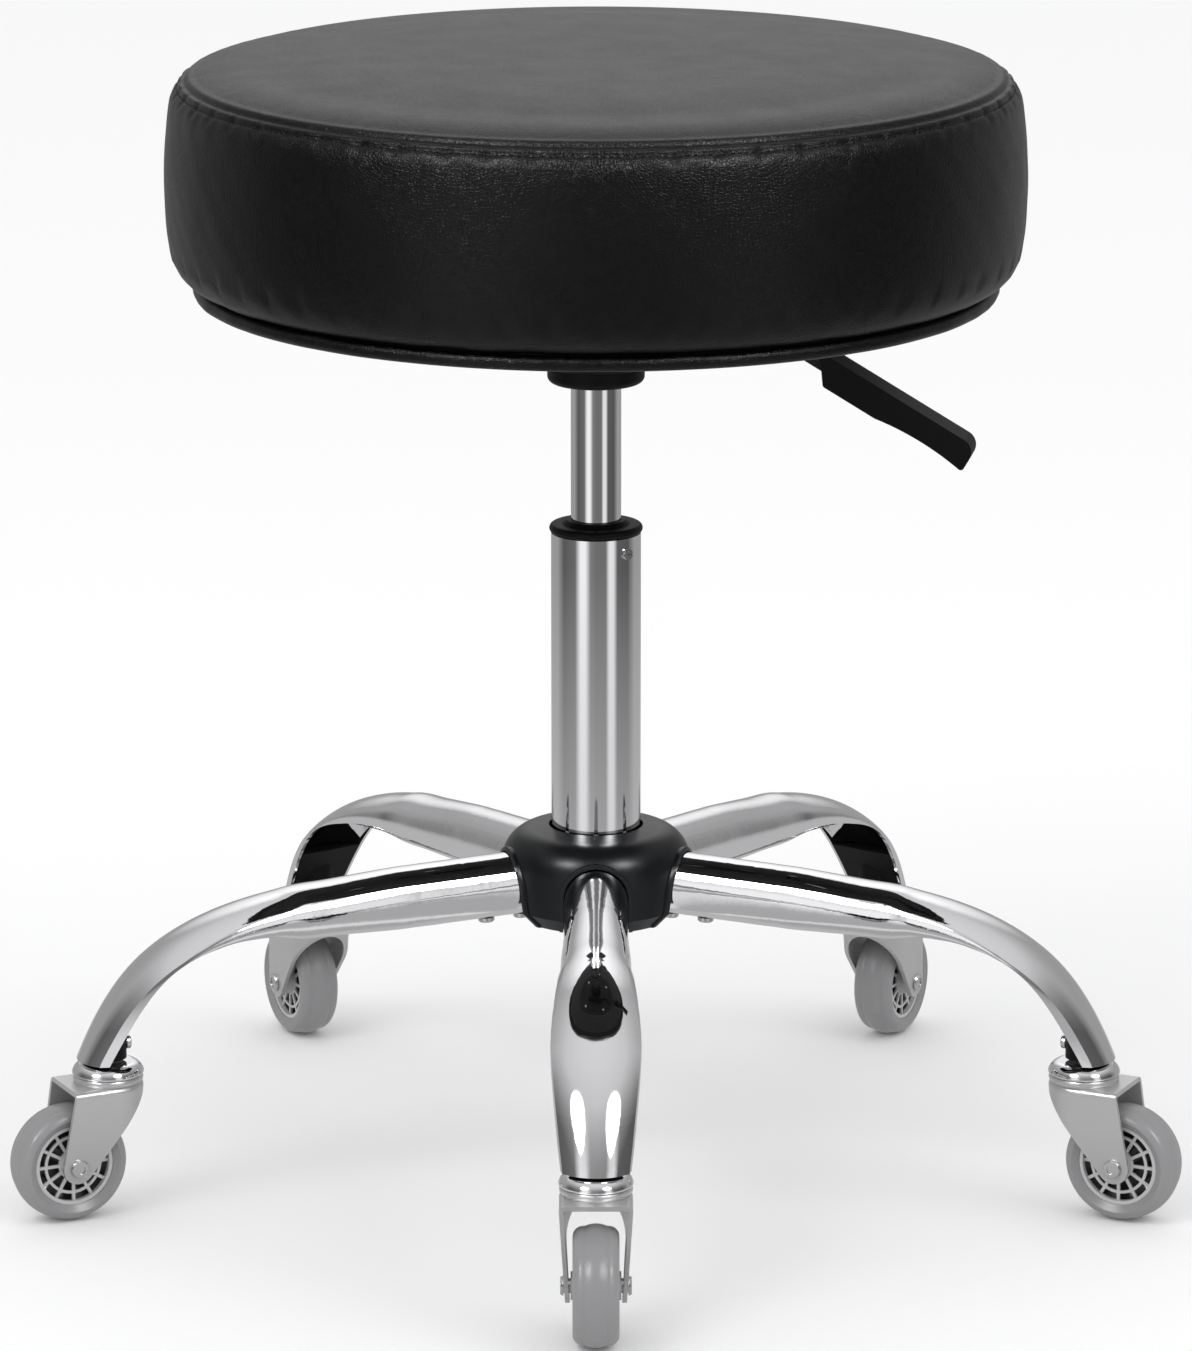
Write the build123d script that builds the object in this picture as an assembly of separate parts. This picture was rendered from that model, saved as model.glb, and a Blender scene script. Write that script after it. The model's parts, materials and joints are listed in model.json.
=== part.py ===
from build123d import *
import os
from math import acos, asin, atan2, cos, hypot, radians, sin, tan

# Adjustable swivel stool. Millimetres, +Z up. The origin is on the floor, on the column's axis.
# The front leg points along -Y. Every height is built up from the floor.

# Casters
wheel_radius = 32.6
wheel_width = 24.6
tyre_depth = 9.8
tread_half_width = 6.0
tread_drop = 1.3
core_rim = 2.0
core_width = 15.0
core_hub_radius = 8.6
core_mid_ring = 16.0
core_mid_ring_width = 1.6
core_spokes = 12
spoke_width = 1.8
caster_trail = 24.6
caster_turns = (0.0, -8.0, 10.0, -10.0, 8.0)
axle_radius = 4.0
axle_head_radius = 5.2
axle_head_height = 1.7
fork_sheet = 2.5
fork_draft = 3.9
fork_bend = 3.0
fork_end_radius = 9.0
fork_hood = 26.0
crown_radius = 19.7
wheel_to_crown = 8.8
race_radius = 19.0
race_height = 3.5
cap_radius = 19.9
cap_height = 7.0
cap_top_radius = 14.0
stem_radius = 5.0
stem_length = 19.0
foot_gap = 1.7
stem_head_radius = 9.0
stem_head_height = 3.0

# Legs and hub
leg_count = 5
front_leg_angle = -90.0
stem_circle_radius = 284.0
leg_rise = 80.6
leg_slope = 2.7
leg_start = 34.0
leg_tube_radius = 17.6
leg_straight = 136.5
leg_wall = 2.0
neck_half_height = 15.3
neck_half_width = 19.2
shoulder_half_width = 24.2
foot_half_width = 18.8
foot_toe = 17.0
foot_depth = 14.0
channel_lean = 0.2
channel_crown = 8.0
edge_roll = 0.6
shoulder_reach = 72.0
shoulder_dip = 8.9
knee_reach = 63.0
knee_angle = 66.4
arch_reach = 76.0
arch_lift = 9.5
heel_reach = 63.4
heel_angle = 62.6
leg_screw_places = (45.0, 65.5)
leg_screw_radius = 2.0
leg_screw_head_radius = 4.6
leg_screw_head_height = 2.8
leg_screw_length = 12.0
socket_height = 34.0
boss_radius = 10.5
boss_height = 26.0
socket_screw_radius = 1.8
socket_screw_head_radius = 3.8
socket_screw_head_height = 2.6
socket_screw_height = 8.0
hub_radius = 52.6
hub_wall = 3.0
hub_top_ring = 10.5
hub_waist = 9.0
hub_belly_radius = 50.5
hub_brow_draw = 4.0
hub_brow_drop = 8.5
hub_side_draw = 0.6
hub_side_drop = 12.0
hub_bore_gap = 1.5
hub_chamfer = 8.0
hub_skirt_radius = 43.5
hub_height = 52.0
hub_drop = 22.5
mouth_lip = 2.2
lip_height = 1.5
spigot_length = 46.0
core_wall = 4.5

# Stand tube and gas lift
tube_radius = 25.0
tube_bore = 22.0
tube_length = 226.0
tube_drop = 6.0
tube_floor = 3.0
tube_foot_radius = 23.5
tube_step = 0.6
tube_shoulder = 58.0
slit_count = 9
slit_width = 2.5
slit_height = 20.0
slit_depth = 1.8
cylinder_radius = 14.0
cylinder_wall = 2.2
cylinder_length = 248.0
cylinder_extension = 118.0
taper_length = 28.0
taper_drop = 0.7
sleeve_length = 100.0
rim_radius = 26.0
rim_height = 5.0
rim_step_radius = 16.6
rim_step_height = 2.4
sleeve_screw_drop = 8.5
sleeve_screw_angle = -47.0
sleeve_screw_radius = 1.5
sleeve_screw_head_radius = 3.1
sleeve_screw_head_height = 1.7
rod_radius = 5.0
rod_tail = 6.0
piston_height = 12.0
piston_room = 4.0
lift_up = 58.0
guide_height = 15.0
seal_height = 5.0
valve_height = 34.0
pin_radius = 3.0
pin_rise = 4.6
pin_length = 41.0
ball_radius = 2.0
ball_count = 10
ball_circle = 10.5
race_thickness = 2.0
race_outer_radius = 15.0
bumper_radius = 13.0
bumper_height = 8.0
clip_thickness = 2.4
clip_radius = 8.5
clip_groove = 0.8

# Seat plate, collar and lever
socket_outer_radius = 18.0
socket_length = 30.0
socket_above_cylinder = 1.0
plate_size = 160.0
plate_corner = 14.0
plate_sheet = 3.0
plate_bolt_spacing = 127.0
tray_length = 102.0
tray_width = 66.0
tray_depth = 30.0
tray_corner = 10.0
collar_radius = 31.0
collar_height = 22.0
collar_step = 4.0
lever_angle = -10.0
lever_pivot = 26.0
lever_drop = 12.0
lever_width = 14.0
lever_thickness = 4.0
lever_tail = 6.0
lever_first_bend = 48.0
lever_first_slope = 4.6
lever_second_bend = 88.0
lever_slope = 30.2
lever_grip_depth = 45.0
knuckle_radius = 5.5
pivot_radius = 2.5
pivot_overhang = 3.0
pivot_head_radius = 4.5
handle_neck = 39.3
handle_length = 101.0
handle_thickness = 16.2
handle_bevel = 11.7
handle_hump = 45.0
handle_hollow = 2.4
handle_tip = 8.0
handle_width = 22.0
handle_corner = 2.0

# Seat
seat_radius = 237.0
seat_height = 119.0
board_inset = 20.0
board_radius = seat_radius - board_inset
board_thickness = 12.0
waist_step = 2.2
seat_waist = board_radius + waist_step
seam_inset = 11.5
seam_radius = seat_radius - seam_inset
skin = 1.2
band_foot = 8.0
band_low_draw = 7.5
band_low_lift = 12.6
band_turn_draw = 2.5
band_turn_lift = 26.0
band_high_draw = 6.4
band_top_draw = 4.0
band_top_fall = 13.3
crown_height = 13.0
top_roll = 30.0
wrap_bulge = 4.7
wrap_height = 8.5
wrap_fold = 21.0
cloth_thickness = 0.8
cloth_inner_radius = 118.0
bolt_radius = 3.0
bolt_head_radius = 6.0
bolt_head_height = 4.5
tee_flange_radius = 9.5
tee_flange_height = 1.4
tee_barrel_radius = 4.2

# Clearances
running = 0.06
loose = 0.3
seated = 0.1

# Heights that follow from the sizes above
axle_z = wheel_radius
crown_low = 2 * wheel_radius + wheel_to_crown
crown_top = crown_low + fork_sheet
race_top = crown_top + race_height
cap_low = race_top + loose
foot_z = cap_low + cap_height + foot_gap
leg_axis_z = foot_z + leg_rise
hub_foot_z = leg_axis_z - hub_drop
hub_top_z = hub_foot_z + hub_height
tube_foot_z = hub_foot_z - tube_drop
tube_top_z = tube_foot_z + tube_length
tube_floor_z = tube_foot_z + tube_floor
race_low_z = tube_floor_z + race_thickness
ball_z = race_low_z + ball_radius + running
race_high_z = ball_z + ball_radius + running
bumper_z = race_high_z + race_thickness
cylinder_top_z = tube_top_z + cylinder_extension
cylinder_foot_z = cylinder_top_z - cylinder_length
cylinder_bore = cylinder_radius - cylinder_wall
piston_z = cylinder_foot_z + lift_up + guide_height + seal_height + piston_room
pin_top_z = cylinder_top_z + pin_rise
socket_top_z = cylinder_top_z + socket_above_cylinder
lever_z = pin_top_z + loose + lever_thickness / 2
board_z = lever_z + lever_drop
tray_floor_z = board_z - tray_depth
collar_foot_z = tray_floor_z - collar_height
board_top_z = board_z + board_thickness


def outline(plane, start, *steps):
    """Closed face: each step is a point to go straight to, or (via, end) for an arc."""
    edges = []
    here = start
    for step in steps:
        if isinstance(step[0], tuple):
            end = step[1]
            edges.append(ThreePointArc(here, step[0], end))
        else:
            end = step
            edges.append(Line(here, end))
        here = end
    edges.append(Line(here, start))
    return plane * make_face(edges)


def turned(start, *steps):
    """Solid turned round the Z axis from an outline of radius and height."""
    return revolve(outline(Plane.XZ, start, *steps), Axis.Z)


def ring(inner, outer, low, high):
    """Plain ring, or a disc where the inner radius is 0."""
    return turned((inner, low), (outer, low), (outer, high), (inner, high))


def bar(radius, start, end):
    """Round bar from one point to another."""
    way = Vector(end) - Vector(start)
    return extrude(Plane(origin=start, z_dir=way) * Circle(radius), way.length)


def ease(share):
    """Smooth step from 0 to 1."""
    share = min(max(share, 0.0), 1.0)
    return share * share * (3 - 2 * share)


def between(a, b, share):
    return a + (b - a) * share


def bezier(points, share):
    """Point on a cubic curve with four control points."""
    rest = 1 - share
    weights = (rest**3, 3 * rest**2 * share, 3 * rest * share**2, share**3)
    return tuple(sum(w * p[i] for w, p in zip(weights, points)) for i in (0, 1))


def along(point, angle, distance):
    """Point at a distance from another, at an angle above the horizontal."""
    return (point[0] + distance * cos(radians(angle)), point[1] + distance * sin(radians(angle)))


def touch(point, centre, radius, side):
    """Where a line from a point touches a circle: left (1) or right (-1) as the centre sees it."""
    gap = hypot(centre[0] - point[0], centre[1] - point[1])
    facing = atan2(point[1] - centre[1], point[0] - centre[0])
    turn = facing + side * acos(radius / gap)
    return (centre[0] + radius * cos(turn), centre[1] + radius * sin(turn))


# Legs. Each is drawn along +X and then turned to its place.
def leg_station(top, low, half_width, openness, wall, drop):
    """Section of the leg, or of its hollow when a wall is given, between its top and low points.

    openness goes from 0, a round tube, to 1, a channel whose sides splay to a free edge. A hollow
    reaches past the free edges by the drop, so the channel is open below.
    """
    height = hypot(top[0] - low[0], top[1] - low[1])
    up = ((top[0] - low[0]) / height, (top[1] - low[1]) / height)
    plane = Plane(origin=(low[0], 0, low[1]), x_dir=(0, 1, 0), z_dir=(up[1], 0, -up[0]))
    # Round tube: creases, sides and lower corners lie on one oval.
    half_height = height / 2
    round_crease = (0.819 * (half_width - wall), half_height + 0.574 * (half_height - wall))
    round_side = (half_width - wall, half_height)
    round_edge = (0.766 * (half_width - wall), half_height - 0.643 * (half_height - wall))
    # Channel: a crowned face between two creases, and sides that splay to the free edges.
    crease_y, edge_y = height - channel_crown - wall, edge_roll - drop
    open_crease = (half_width - wall - channel_lean * (crease_y - edge_roll), crease_y)
    open_edge = (half_width - wall - channel_lean * (edge_y - edge_roll), edge_y)
    open_side = (
        (open_crease[0] + open_edge[0]) / 2 + 0.05,
        (open_crease[1] + open_edge[1]) / 2,
    )
    crease, side, edge = (
        tuple(between(a, b, openness) for a, b in zip(pair[0], pair[1]))
        for pair in ((round_crease, open_crease), (round_side, open_side), (round_edge, open_edge))
    )
    base = between(wall, -drop, openness)
    edges = [
        ThreePointArc((-crease[0], crease[1]), (0, height - wall), crease),
        ThreePointArc(crease, side, edge),
        ThreePointArc(edge, (0, base), (-edge[0], edge[1])),
        ThreePointArc((-edge[0], edge[1]), (-side[0], side[1]), (-crease[0], crease[1])),
    ]
    return plane * make_face(edges)


def leg_form(wall, drop):
    """Outer form of the leg, or the form of its hollow when a wall is given."""
    slope = radians(leg_slope)
    up = (sin(slope), cos(slope))
    start = (leg_start, leg_axis_z)
    neck = along(start, -leg_slope, leg_straight)
    neck_top = (neck[0] + up[0] * neck_half_height, neck[1] + up[1] * neck_half_height)
    neck_low = (neck[0] - up[0] * neck_half_height, neck[1] - up[1] * neck_half_height)
    toe = (stem_circle_radius + foot_toe, foot_z)
    heel = (toe[0] - foot_depth, foot_z)
    ridge = (
        neck_top,
        along(neck_top, -shoulder_dip, shoulder_reach),
        along(toe, 180 - knee_angle, knee_reach),
        toe,
    )
    arch = (
        neck_low,
        along(neck_low, arch_lift, arch_reach),
        along(heel, 180 - heel_angle, heel_reach),
        heel,
    )
    sections = []
    tube_steps = 12
    overrun = 1.0 if wall else 0.0
    for step in range(tube_steps):
        share = step / tube_steps
        centre = along(start, -leg_slope, leg_straight * share - (overrun if step == 0 else 0))
        pinch = ease((share - 0.55) / 0.45)
        tall = between(leg_tube_radius, neck_half_height, pinch)
        wide = between(leg_tube_radius, neck_half_width, pinch)
        top = (centre[0] + up[0] * tall, centre[1] + up[1] * tall)
        low = (centre[0] - up[0] * tall, centre[1] - up[1] * tall)
        sections.append(leg_station(top, low, wide, 0.0, wall, drop))
    bend_steps = 14
    for step in range(bend_steps + 1):
        share = step / bend_steps
        fall = overrun if step == bend_steps else 0
        top = bezier(ridge, share)
        low = bezier(arch, share)
        wide = (
            neck_half_width * (1 - share) * (1 - 2 * share)
            + 4 * shoulder_half_width * share * (1 - share)
            + foot_half_width * share * (2 * share - 1)
        )
        sections.append(
            leg_station(
                (top[0], top[1] - fall), (low[0], low[1] - fall), wide, ease(share / 0.5), wall, drop
            )
        )
    return loft(sections)


def leg_screw_axis(place):
    """Point on the leg's underside and the direction into the leg, for a screw."""
    slope = radians(leg_slope)
    centre = along((leg_start, leg_axis_z), -leg_slope, place - leg_start)
    low = Vector(centre[0] - sin(slope) * leg_tube_radius, 0, centre[1] - cos(slope) * leg_tube_radius)
    return low, Vector(sin(slope), 0, cos(slope))


def make_leg():
    leg = leg_form(0.0, 0.0) - leg_form(leg_wall, 7.0)
    for place in leg_screw_places:
        low, up = leg_screw_axis(place)
        leg -= bar(leg_screw_radius + loose, tuple(low - up * leg_wall), tuple(low + up * 2 * leg_wall))
    return leg


def make_leg_screws():
    screws = []
    for place in leg_screw_places:
        low, up = leg_screw_axis(place)
        low -= up * running
        head = bar(leg_screw_head_radius, tuple(low - up * leg_screw_head_height), tuple(low))
        head = fillet(head.edges().group_by(Axis.Z)[0], leg_screw_head_height * 0.45)
        start, end = low - up * leg_screw_head_height / 2, low + up * leg_screw_length
        screws.append(head + bar(leg_screw_radius, tuple(start), tuple(end)))
    return screws


def make_socket():
    """Plastic block in the foot's channel, with a boss round the caster's stem."""
    fit = leg_wall + loose
    block = Pos(stem_circle_radius, 0, foot_z + loose + socket_height / 2) * Box(
        4 * shoulder_half_width, 4 * shoulder_half_width, socket_height
    )
    boss = Pos(stem_circle_radius, 0, 0) * ring(0, boss_radius, foot_z + loose, foot_z + boss_height)
    socket = (leg_form(fit, 0.5) & block) + (leg_form(fit, 25.0) & boss)
    socket -= Pos(stem_circle_radius, 0, 0) * ring(
        0, stem_radius + seated, foot_z - loose, foot_z + stem_length + loose
    )
    face, screw_z = stem_circle_radius - boss_radius, foot_z + socket_screw_height
    end = stem_circle_radius - stem_radius
    return socket - bar(socket_screw_radius + seated, (face - 1, 0, screw_z), (end, 0, screw_z))


def make_socket_screw():
    face, screw_z = stem_circle_radius - boss_radius, foot_z + socket_screw_height
    head = bar(socket_screw_head_radius, (face, 0, screw_z), (face - socket_screw_head_height, 0, screw_z))
    head = fillet(head.edges().group_by(Axis.X)[0], socket_screw_head_height * 0.45)
    tip = face + boss_radius - stem_radius - loose
    return head + bar(socket_screw_radius, (face - 1, 0, screw_z), (tip, 0, screw_z))


# Hub
def mouth(radius, reach):
    """Arched passage of a leg out to a reach: round above, straight down past the hub's foot."""
    fall = tan(radians(leg_slope))
    start = tube_radius
    start_z = leg_axis_z + (leg_start - start) * fall
    end_z = start_z - (reach - start) * fall
    arch = bar(radius, (start, 0, start_z), (reach, 0, end_z))
    depth = leg_axis_z - hub_foot_z + hub_wall
    slot = Pos((start + reach) / 2, 0, leg_axis_z - depth / 2) * Box(reach - start, 2 * radius, depth)
    return arch + slot


def dome(inset):
    """Steps of the hub's dome from its top ring to its foot, inset from the outside."""
    edge = tube_radius + hub_top_ring
    widest = hub_radius - inset
    waist_z = leg_axis_z + hub_waist
    chamfer_z = hub_foot_z + hub_chamfer
    return (
        (edge, hub_top_z - hub_wall / 2 - inset),
        ((widest - hub_brow_draw, hub_top_z - hub_brow_drop - inset * 0.7), (widest, waist_z)),
        ((widest - hub_side_draw, waist_z - hub_side_drop), (hub_belly_radius - inset, chamfer_z)),
        (hub_skirt_radius - inset, hub_foot_z),
    )


def make_hub_shell(angles):
    """Moulded dome, hollow from below, with a lipped mouth for each leg."""
    bore = tube_radius + hub_bore_gap
    open_radius = leg_tube_radius + 2 * loose
    shell = turned((0, hub_foot_z), (0, hub_top_z), (bore, hub_top_z), *dome(0.0))
    proud = turned((0, hub_foot_z), (0, hub_top_z), (bore, hub_top_z), *dome(-lip_height))
    for angle in angles:
        shell += proud & (Rot(0, 0, angle) * mouth(open_radius + mouth_lip, 2 * hub_radius))
    shell -= turned(
        (0, hub_foot_z - 1),
        (0, hub_top_z - hub_wall),
        *dome(hub_wall),
        (hub_skirt_radius - hub_wall, hub_foot_z - 1),
    )
    for angle in angles:
        shell -= Rot(0, 0, angle) * mouth(open_radius, 2 * hub_radius)
    return shell - ring(0, bore, hub_foot_z - 1, hub_top_z + 1)


def tube_taper(z):
    """Radius of the stand tube's tapered foot at a height."""
    return between(tube_foot_radius, tube_radius - tube_step, (z - tube_foot_z) / tube_shoulder)


def make_hub_core(angles):
    low, high = tube_foot_z + tube_floor, hub_top_z - hub_wall - 2.0
    core = ring(0, tube_radius + core_wall, low, high)
    for angle in angles:
        start = along((leg_start, leg_axis_z), 180 - leg_slope, leg_start - tube_radius)
        end = along(start, -leg_slope, spigot_length + leg_start - tube_radius)
        spigot = bar(leg_tube_radius - leg_wall - loose, (start[0], 0, start[1]), (end[0], 0, end[1]))
        for place in leg_screw_places:
            base, up = leg_screw_axis(place)
            tip = base + up * (leg_screw_length + 1)
            spigot -= bar(leg_screw_radius + seated, tuple(base), tuple(tip))
        core += Rot(0, 0, angle) * spigot
    gap = seated
    return core - turned(
        (0, low - 1),
        (tube_taper(low - 1) + gap, low - 1),
        (tube_taper(high + 1) + gap, high + 1),
        (0, high + 1),
    )


# Stand tube and gas lift
def make_stand_tube():
    shoulder_z = tube_foot_z + tube_shoulder
    tube = turned(
        (rod_radius + running, tube_foot_z),
        (tube_foot_radius, tube_foot_z),
        (tube_radius - tube_step, shoulder_z - tube_step),
        (tube_radius, shoulder_z),
        (tube_radius, tube_top_z),
        (tube_bore, tube_top_z),
        (tube_bore, tube_floor_z),
        (rod_radius + running, tube_floor_z),
    )
    wedge = outline(
        Plane.YZ.offset(tube_radius - slit_depth),
        (-slit_width / 2, shoulder_z - tube_step),
        (slit_width / 2, shoulder_z - tube_step),
        (0, shoulder_z + slit_height),
    )
    slit = extrude(wedge, 2 * slit_depth)
    for place in range(slit_count):
        tube -= Rot(0, 0, front_leg_angle + place * 360 / slit_count) * slit
    return tube - sleeve_screw_bar(sleeve_screw_radius + loose, tube_bore - 1, tube_radius + 1)


def sleeve_screw_bar(radius, inner, outer):
    """Bar across the tube's wall where the small screw sits."""
    z = tube_top_z - sleeve_screw_drop
    return Rot(0, 0, sleeve_screw_angle) * bar(radius, (inner, 0, z), (outer, 0, z))


def make_sleeve_screw():
    head = sleeve_screw_bar(sleeve_screw_head_radius, tube_radius, tube_radius + sleeve_screw_head_height)
    slot = Pos(tube_radius + sleeve_screw_head_height, 0, tube_top_z - sleeve_screw_drop) * Box(
        sleeve_screw_head_height, 2.2 * sleeve_screw_head_radius, 0.3 * sleeve_screw_head_radius
    )
    head -= Rot(0, 0, sleeve_screw_angle) * slot
    return head + sleeve_screw_bar(sleeve_screw_radius, tube_bore - 4.0, tube_radius + 0.5)


def make_guide_sleeve():
    bore = cylinder_radius + running
    rim_z = tube_top_z + rim_height
    bulge = rim_height / 2
    sleeve = turned(
        (bore, tube_top_z - sleeve_length),
        (tube_bore - seated, tube_top_z - sleeve_length),
        (tube_bore - seated, tube_top_z),
        (rim_radius - bulge, tube_top_z),
        ((rim_radius, tube_top_z + bulge), (rim_radius - bulge, rim_z)),
        (rim_step_radius + rim_step_height, rim_z),
        (rim_step_radius, rim_z + rim_step_height),
        (bore, rim_z + rim_step_height),
    )
    return sleeve - sleeve_screw_bar(sleeve_screw_radius + seated, tube_bore - 4.5, tube_radius)


def make_gas_cylinder():
    taper_z = cylinder_top_z - taper_length
    roll = 0.6 * cylinder_wall
    return turned(
        (cylinder_bore, cylinder_foot_z),
        (cylinder_radius - roll, cylinder_foot_z),
        (
            (cylinder_radius - roll * 0.29, cylinder_foot_z + roll * 0.29),
            (cylinder_radius, cylinder_foot_z + roll),
        ),
        (cylinder_radius, taper_z),
        (cylinder_radius - taper_drop, cylinder_top_z),
        (cylinder_bore, cylinder_top_z),
    )


def make_piston_rod():
    foot = tube_foot_z - rod_tail
    groove_low = tube_foot_z - clip_thickness - running
    groove_radius = rod_radius - clip_groove
    return turned(
        (0, foot),
        (rod_radius - 1.0, foot),
        (rod_radius, foot + 1.0),
        (rod_radius, groove_low),
        (groove_radius, groove_low),
        (groove_radius, tube_foot_z - running),
        (rod_radius, tube_foot_z - running),
        (rod_radius, piston_z),
        (rod_radius - 1.0, piston_z),
        (rod_radius - 1.0, piston_z + piston_height - 1.0),
        (0, piston_z + piston_height - 1.0),
    )


def make_piston():
    outer = cylinder_bore - running
    groove = 1.2
    middle = piston_z + piston_height / 2
    bore = rod_radius - 1.0 + seated / 2
    return turned(
        (bore, piston_z),
        (outer, piston_z),
        (outer, middle - 2 * groove),
        (outer - groove, middle - groove),
        (outer - groove, middle + groove),
        (outer, middle + 2 * groove),
        (outer, piston_z + piston_height),
        (bore, piston_z + piston_height),
    )


def make_clip():
    """Open clip in the rod's groove, under the tube's floor."""
    low, high = tube_foot_z - clip_thickness, tube_foot_z - 2 * running
    clip = ring(rod_radius - clip_groove + running, clip_radius, low, high)
    gap = rod_radius
    return clip - Pos(clip_radius, 0, (low + high) / 2) * Box(2 * clip_radius, gap, 2 * clip_thickness)


def make_bearing_balls():
    """Ball set in its cage."""
    balls = [loc * Sphere(ball_radius) for loc in PolarLocations(ball_circle, ball_count)]
    reach = 1.4 * ball_radius
    cage = ring(ball_circle - reach, ball_circle + reach, -ball_radius / 4, ball_radius / 4)
    for loc in PolarLocations(ball_circle, ball_count):
        cage -= loc * Sphere(ball_radius + seated)
    return [Pos(0, 0, ball_z) * solid for solid in balls + [cage]]


def make_release_pin():
    return turned(
        (0, pin_top_z - pin_length),
        (pin_radius, pin_top_z - pin_length),
        (pin_radius, pin_top_z - 1.0),
        (pin_radius - 1.0, pin_top_z),
        (0, pin_top_z),
    )


# Seat plate, collar and lever. The tray and lever are drawn along +X and turned to the lever's angle.
def to_lever(solid):
    return Rot(0, 0, lever_angle) * solid


def bolt_places():
    return GridLocations(plate_bolt_spacing, plate_bolt_spacing, 2, 2)


def rounded_block(length, width, corner, low, high):
    return extrude(Plane.XY.offset(low) * RectangleRounded(length, width, corner), high - low)


def make_seat_plate():
    flange = rounded_block(plate_size, plate_size, plate_corner, board_z - plate_sheet, board_z)
    tray = rounded_block(tray_length, tray_width, tray_corner, tray_floor_z, board_z)
    tray = fillet(tray.edges().group_by(Axis.Z)[0], plate_sheet)
    hollow = rounded_block(
        tray_length - 2 * plate_sheet,
        tray_width - 2 * plate_sheet,
        tray_corner - plate_sheet,
        tray_floor_z + plate_sheet,
        board_z + 1,
    )
    plate = flange + tray - hollow
    plate -= ring(0, socket_outer_radius + seated, tray_floor_z - 1, tray_floor_z + plate_sheet + 1)
    slot_low = lever_z - lever_thickness / 2 - lever_thickness
    slot_high = board_z - plate_sheet
    plate -= Pos(tray_length / 2, 0, (slot_low + slot_high) / 2) * Box(
        4 * plate_sheet, lever_width + 2.0, slot_high - slot_low
    )
    near, far = (lever_pivot, -tray_width, lever_z), (lever_pivot, tray_width, lever_z)
    plate -= bar(pivot_radius + running, near, far)
    for place in bolt_places():
        plate -= place * ring(0, bolt_radius + loose, board_z - 2 * plate_sheet, board_z + 1)
    return to_lever(plate)


def cylinder_taper(z):
    """Radius of the gas cylinder's taper at a height."""
    return cylinder_radius - taper_drop * max(z - (cylinder_top_z - taper_length), 0.0) / taper_length


def make_taper_socket():
    low = socket_top_z - socket_length
    return turned(
        (cylinder_taper(low) + seated, low),
        (socket_outer_radius - 1.0, low),
        (socket_outer_radius, low + 1.0),
        (socket_outer_radius, socket_top_z),
        (cylinder_taper(socket_top_z) + seated, socket_top_z),
        (cylinder_taper(cylinder_top_z - taper_length) + seated, cylinder_top_z - taper_length),
    )


def make_collar():
    """Two-tier collar with rounded edges."""
    step_z = collar_foot_z + 0.45 * collar_height
    lower = collar_radius - collar_step
    bore = cylinder_radius + loose
    ledge = socket_top_z - socket_length - loose
    socket_bore = socket_outer_radius + seated
    return turned(
        (bore, collar_foot_z),
        (lower - collar_step, collar_foot_z),
        (
            (lower - 0.29 * collar_step, collar_foot_z + 0.29 * collar_step),
            (lower, collar_foot_z + collar_step),
        ),
        (lower, step_z),
        (collar_radius - 2.0, step_z),
        ((collar_radius - 0.6, step_z + 0.6), (collar_radius, step_z + 2.0)),
        (collar_radius, tray_floor_z),
        (socket_bore, tray_floor_z),
        (socket_bore, ledge),
        (bore, ledge),
    )


def lever_route():
    """Middle line of the lever bar from its tail over the pin to its end in the handle."""
    bend_one = (lever_first_bend, lever_z)
    run = lever_second_bend - lever_first_bend
    bend_two = (lever_second_bend, lever_z - run * tan(radians(lever_first_slope)))
    end = along(bend_two, -lever_slope, handle_neck + lever_grip_depth)
    return (-lever_tail, lever_z), bend_one, bend_two, end


def strip(points, angles, thickness):
    """Flat bar of even thickness along straight runs, seen from its edge."""
    half = thickness / 2
    upper, lower = [], []
    for i, point in enumerate(points):
        before = angles[max(i - 1, 0)]
        after = angles[min(i, len(angles) - 1)]
        tilt = radians(90 + (before + after) / 2)
        reach = half / cos(radians((after - before) / 2))
        upper.append((point[0] + reach * cos(tilt), point[1] + reach * sin(tilt)))
        lower.append((point[0] - reach * cos(tilt), point[1] - reach * sin(tilt)))
    return outline(Plane.XZ, *(upper + lower[::-1]))


def lever_strip(thickness, width):
    angles = (0.0, -lever_first_slope, -lever_slope)
    return extrude(strip(lever_route(), angles, thickness), width / 2, both=True)


def make_lever_bar():
    lever = lever_strip(lever_thickness, lever_width)
    half = lever_width / 2
    lever += bar(knuckle_radius, (lever_pivot, -half, lever_z), (lever_pivot, half, lever_z))
    near, far = (lever_pivot, -lever_width, lever_z), (lever_pivot, lever_width, lever_z)
    return to_lever(lever - bar(pivot_radius + running, near, far))


def make_lever_handle():
    """Paddle in line with the bar: bevelled inner end, hollowed underside and a rounded tip."""
    root = along(lever_route()[2], -lever_slope, handle_neck)
    half = handle_thickness / 2

    def grip(distance, rise):
        return along(along(root, -lever_slope, distance), 90 - lever_slope, rise)

    side = outline(
        Plane.XZ,
        grip(0, half),
        grip(handle_length, half),
        grip(handle_length, -half),
        (grip((handle_length + handle_hump) / 2, handle_hollow - half), grip(handle_hump, -half)),
        grip(handle_bevel, -half),
    )
    handle = extrude(side, handle_width / 2, both=True)
    handle = fillet(handle.edges().filter_by(Axis.Y).sort_by(Axis.X)[:-1], handle_corner)
    handle = fillet(handle.edges().filter_by(Axis.Y).sort_by(Axis.X)[-1], handle_tip)
    return to_lever(handle - lever_strip(lever_thickness + 2 * seated, lever_width + 2 * seated))


def make_pivot_pin():
    half = tray_width / 2 + pivot_overhang
    pin = bar(pivot_radius, (lever_pivot, -half, lever_z), (lever_pivot, half, lever_z))
    pin += bar(pivot_head_radius, (lever_pivot, tray_width / 2, lever_z), (lever_pivot, half, lever_z))
    return to_lever(pin)


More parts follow.
